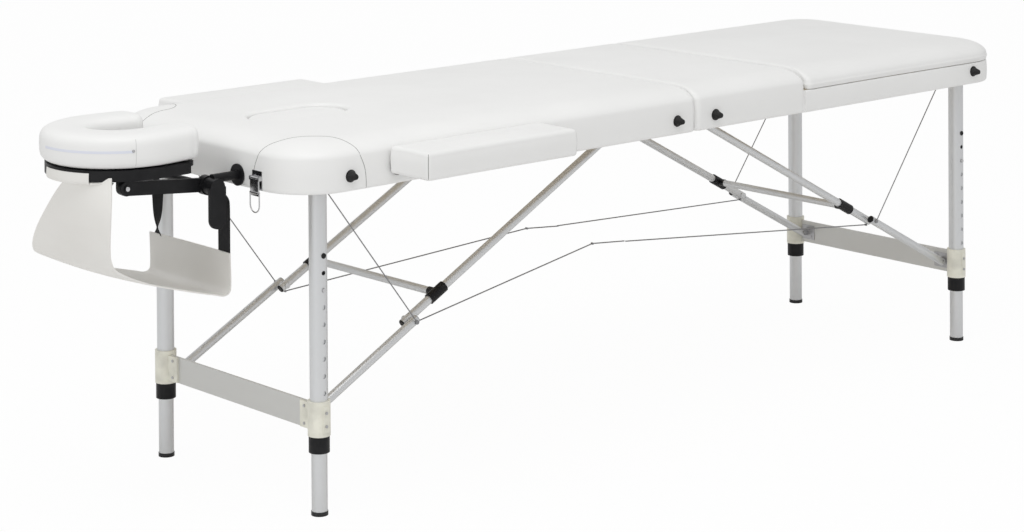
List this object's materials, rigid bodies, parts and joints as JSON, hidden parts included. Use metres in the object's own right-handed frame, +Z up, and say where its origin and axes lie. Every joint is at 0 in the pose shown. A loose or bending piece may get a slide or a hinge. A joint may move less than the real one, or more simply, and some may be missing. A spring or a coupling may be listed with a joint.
{
  "type": "massage table",
  "caption": "Portable folding massage table with a lifting backrest, face hole with plug, face cradle with arm sling, side armrests and telescoping braced legs.",
  "frame": {"origin": "on the floor, under the middle of the whole object", "axes": "+Z up; X runs along the table with the head end and the face cradle at -X; the near long side is at -Y"},
  "size_m": [2.234, 0.82, 0.6843],
  "materials": {
    "beige_plastic": "fine grain",
    "black_plastic": "fine grain",
    "cable": "twisted wire",
    "chrome": "polished",
    "crossbar": "matt",
    "plywood": "clear varnish",
    "rubber": "matt",
    "satin_tube": "satin",
    "sling_sheet": "soft",
    "steel": "satin",
    "upholstery": "soft matt white",
    "webbing": "woven"
  },
  "bodies": {
    "head_half": {"head_frame": "plywood", "head_deck": "plywood", "head_cushion": "upholstery", "head_brackets": "steel", "head_bumpers": "rubber", "latch_plate": "chrome", "rod_sockets": "black_plastic"},
    "fold_axle": {"fold_pin": "steel"},
    "foot_half": {"foot_frame": "plywood", "foot_deck": "plywood", "seat_cushion": "upholstery", "foot_brackets": "steel", "foot_bumpers": "rubber", "latch_strike": "chrome"},
    "backrest": {"back_deck": "plywood", "backrest_cushion": "upholstery", "back_hinge": "steel"},
    "props": {"back_props": "steel"},
    "head_legs": {"head_leg_tubes": "satin_tube", "head_collars": "black_plastic", "head_clamps": "beige_plastic", "head_crossbar": "crossbar", "head_lugs": "steel"},
    "foot_legs": {"foot_leg_tubes": "satin_tube", "foot_collars": "black_plastic", "foot_clamps": "beige_plastic", "foot_crossbar": "crossbar", "foot_lugs": "steel"},
    "head_upper": {"head_upper_braces": "satin_tube", "head_spreader": "black_plastic"},
    "foot_upper": {"foot_upper_braces": "satin_tube", "foot_spreader": "black_plastic"},
    "head_lower": {"head_lower_braces": "satin_tube"},
    "foot_lower": {"foot_lower_braces": "satin_tube"},
    "head_stay": {"head_stays": "cable"},
    "foot_stay": {"foot_stays": "cable"},
    "head_cable": {"long_cable_head": "cable"},
    "foot_cable": {"long_cable_foot": "cable"},
    "plug": {"face_plug": "upholstery"},
    "latch_arm": {"latch_lever": "chrome"},
    "latch_loop": {"latch_bail": "chrome"},
    "near_armrest": {"armrest_near": "upholstery", "arm_rods_near": "chrome"},
    "far_armrest": {"armrest_far": "upholstery", "arm_rods_far": "chrome"},
    "cradle_base": {"cradle_posts": "black_plastic"},
    "cradle_cam": {"cradle_lever": "black_plastic"},
    "cradle_frame": {"cradle_arms": "black_plastic", "arm_sling": "sling_sheet", "sling_straps": "webbing"},
    "cradle_top": {"cradle_plate": "black_plastic"},
    "face_pad": {"face_cushion": "upholstery"},
    "lower_leg_hn": {"inner_leg_hn": "satin_tube"},
    "leg_button_hn": {"button_hn": "steel"},
    "lower_leg_hf": {"inner_leg_hf": "satin_tube"},
    "leg_button_hf": {"button_hf": "steel"},
    "lower_leg_fn": {"inner_leg_fn": "satin_tube"},
    "leg_button_fn": {"button_fn": "steel"},
    "lower_leg_ff": {"inner_leg_ff": "satin_tube"},
    "leg_button_ff": {"button_ff": "steel"}
  },
  "joints": [
    {"name": "fold_upper", "type": "hinge", "parent": "head_half", "child": "fold_axle", "pos_m": [0.15, 0, 0.566], "axis": [0, 1, 0], "range_deg": [0, 120]},
    {"name": "fold_lower", "type": "hinge", "parent": "fold_axle", "child": "foot_half", "pos_m": [0.15, 0, 0.566], "axis": [0, 1, 0], "range_deg": [0, 60]},
    {"name": "head_legs_fold", "type": "hinge", "parent": "head_half", "child": "head_legs", "pos_m": [-0.725, 0, 0.589], "axis": [0, -1, 0], "range_deg": [0, 90.01]},
    {"name": "head_upper_swing", "type": "hinge", "parent": "head_half", "child": "head_upper", "pos_m": [0.1, 0, 0.603], "axis": [0, 1, 0], "range_deg": [0, 28.14]},
    {"name": "head_lower_swing", "type": "hinge", "parent": "head_legs", "child": "head_lower", "pos_m": [-0.711, 0, 0.1695], "axis": [0, -1, 0], "range_deg": [0, 61.88]},
    {"name": "head_cable_swing", "type": "hinge", "parent": "head_upper", "child": "head_cable", "pos_m": [-0.48431, 0, 0.27877], "axis": [0, -1, 0], "range_deg": [0, 22.47]},
    {"name": "head_stay_swing", "type": "hinge", "parent": "head_half", "child": "head_stay", "pos_m": [-0.725, 0, 0.603], "axis": [0, -1, 0], "range_deg": [0, 52.39]},
    {"name": "leg_length_hn", "type": "slide", "parent": "head_legs", "child": "lower_leg_hn", "axis": [0, 0, -1], "range_m": [-0.03, 0.15]},
    {"name": "button_press_hn", "type": "slide", "parent": "lower_leg_hn", "child": "leg_button_hn", "axis": [0, 1, 0], "range_m": [0, 0.004], "stiffness_N_per_m": 400, "springref_m": -0.003},
    {"name": "leg_length_hf", "type": "slide", "parent": "head_legs", "child": "lower_leg_hf", "axis": [0, 0, -1], "range_m": [-0.03, 0.15]},
    {"name": "button_press_hf", "type": "slide", "parent": "lower_leg_hf", "child": "leg_button_hf", "axis": [0, -1, 0], "range_m": [0, 0.004], "stiffness_N_per_m": 400, "springref_m": -0.003},
    {"name": "foot_legs_fold", "type": "hinge", "parent": "foot_half", "child": "foot_legs", "pos_m": [1.025, 0, 0.589], "axis": [0, 1, 0], "range_deg": [0, 90.01]},
    {"name": "foot_upper_swing", "type": "hinge", "parent": "foot_half", "child": "foot_upper", "pos_m": [0.2, 0, 0.603], "axis": [0, -1, 0], "range_deg": [0, 28.14]},
    {"name": "foot_lower_swing", "type": "hinge", "parent": "foot_legs", "child": "foot_lower", "pos_m": [1.011, 0, 0.1695], "axis": [0, 1, 0], "range_deg": [0, 61.88]},
    {"name": "foot_cable_swing", "type": "hinge", "parent": "foot_upper", "child": "foot_cable", "pos_m": [0.78431, 0, 0.27877], "axis": [0, 1, 0], "range_deg": [0, 23.97]},
    {"name": "foot_stay_swing", "type": "hinge", "parent": "foot_half", "child": "foot_stay", "pos_m": [1.025, 0, 0.603], "axis": [0, 1, 0], "range_deg": [0, 52.39]},
    {"name": "leg_length_fn", "type": "slide", "parent": "foot_legs", "child": "lower_leg_fn", "axis": [0, 0, -1], "range_m": [-0.03, 0.15]},
    {"name": "button_press_fn", "type": "slide", "parent": "lower_leg_fn", "child": "leg_button_fn", "axis": [0, 1, 0], "range_m": [0, 0.004], "stiffness_N_per_m": 400, "springref_m": -0.003},
    {"name": "leg_length_ff", "type": "slide", "parent": "foot_legs", "child": "lower_leg_ff", "axis": [0, 0, -1], "range_m": [-0.03, 0.15]},
    {"name": "button_press_ff", "type": "slide", "parent": "lower_leg_ff", "child": "leg_button_ff", "axis": [0, -1, 0], "range_m": [0, 0.004], "stiffness_N_per_m": 400, "springref_m": -0.003},
    {"name": "backrest_lift", "type": "hinge", "parent": "foot_half", "child": "backrest", "pos_m": [0.47, 0, 0.647], "axis": [0, -1, 0], "range_deg": [0, 60]},
    {"name": "prop_swing", "type": "hinge", "parent": "backrest", "child": "props", "pos_m": [0.71, 0, 0.605], "axis": [0, -1, 0], "range_deg": [0, 53]},
    {"name": "armrest_near_pull", "type": "slide", "parent": "head_half", "child": "near_armrest", "axis": [0, -1, 0], "range_m": [0, 0.04]},
    {"name": "armrest_far_pull", "type": "slide", "parent": "head_half", "child": "far_armrest", "axis": [0, 1, 0], "range_m": [0, 0.04]},
    {"name": "cradle_pull", "type": "slide", "parent": "head_half", "child": "cradle_base", "axis": [-1, 0, 0], "range_m": [0, 0.06]},
    {"name": "cradle_arm_tilt", "type": "hinge", "parent": "cradle_base", "child": "cradle_frame", "pos_m": [-0.871, 0, 0.577], "axis": [0, 1, 0], "range_deg": [-20, 10]},
    {"name": "platform_tilt", "type": "hinge", "parent": "cradle_frame", "child": "cradle_top", "pos_m": [-1.034, 0, 0.592], "axis": [0, 1, 0], "range_deg": [-8, 8]},
    {"name": "cam_lever_turn", "type": "hinge", "parent": "cradle_base", "child": "cradle_cam", "pos_m": [-0.871, 0, 0.577], "axis": [0, 1, 0], "range_deg": [0, 90]},
    {"name": "face_cushion_lift", "type": "slide", "parent": "cradle_top", "child": "face_pad", "axis": [0, 0, 1], "range_m": [0, 0.08]},
    {"name": "face_plug_lift", "type": "slide", "parent": "head_half", "child": "plug", "axis": [0, 0, 1], "range_m": [0, 0.08]},
    {"name": "latch_lever_turn", "type": "hinge", "parent": "head_half", "child": "latch_arm", "pos_m": [-0.8205, -0.184, 0.59246], "axis": [0, 1, 0], "range_deg": [0, 110]},
    {"name": "latch_bail_swing", "type": "hinge", "parent": "latch_arm", "child": "latch_loop", "pos_m": [-0.822, -0.184, 0.56746], "axis": [0, 1, 0], "range_deg": [-25, 100]}
  ],
  "couplings": [
    {"joint": "head_legs_fold", "follows": "fold_upper", "ratio": 0.75},
    {"joint": "head_upper_swing", "follows": "fold_upper", "ratio": 0.23438},
    {"joint": "head_lower_swing", "follows": "fold_upper", "ratio": 0.51562},
    {"joint": "head_cable_swing", "follows": "fold_upper", "ratio": 0.18714},
    {"joint": "head_stay_swing", "follows": "fold_upper", "ratio": 0.43651},
    {"joint": "foot_legs_fold", "follows": "fold_upper", "ratio": 0.75},
    {"joint": "foot_upper_swing", "follows": "fold_upper", "ratio": 0.23438},
    {"joint": "foot_lower_swing", "follows": "fold_upper", "ratio": 0.51562},
    {"joint": "foot_cable_swing", "follows": "fold_upper", "ratio": 0.19964},
    {"joint": "foot_stay_swing", "follows": "fold_upper", "ratio": 0.43651}
  ]
}
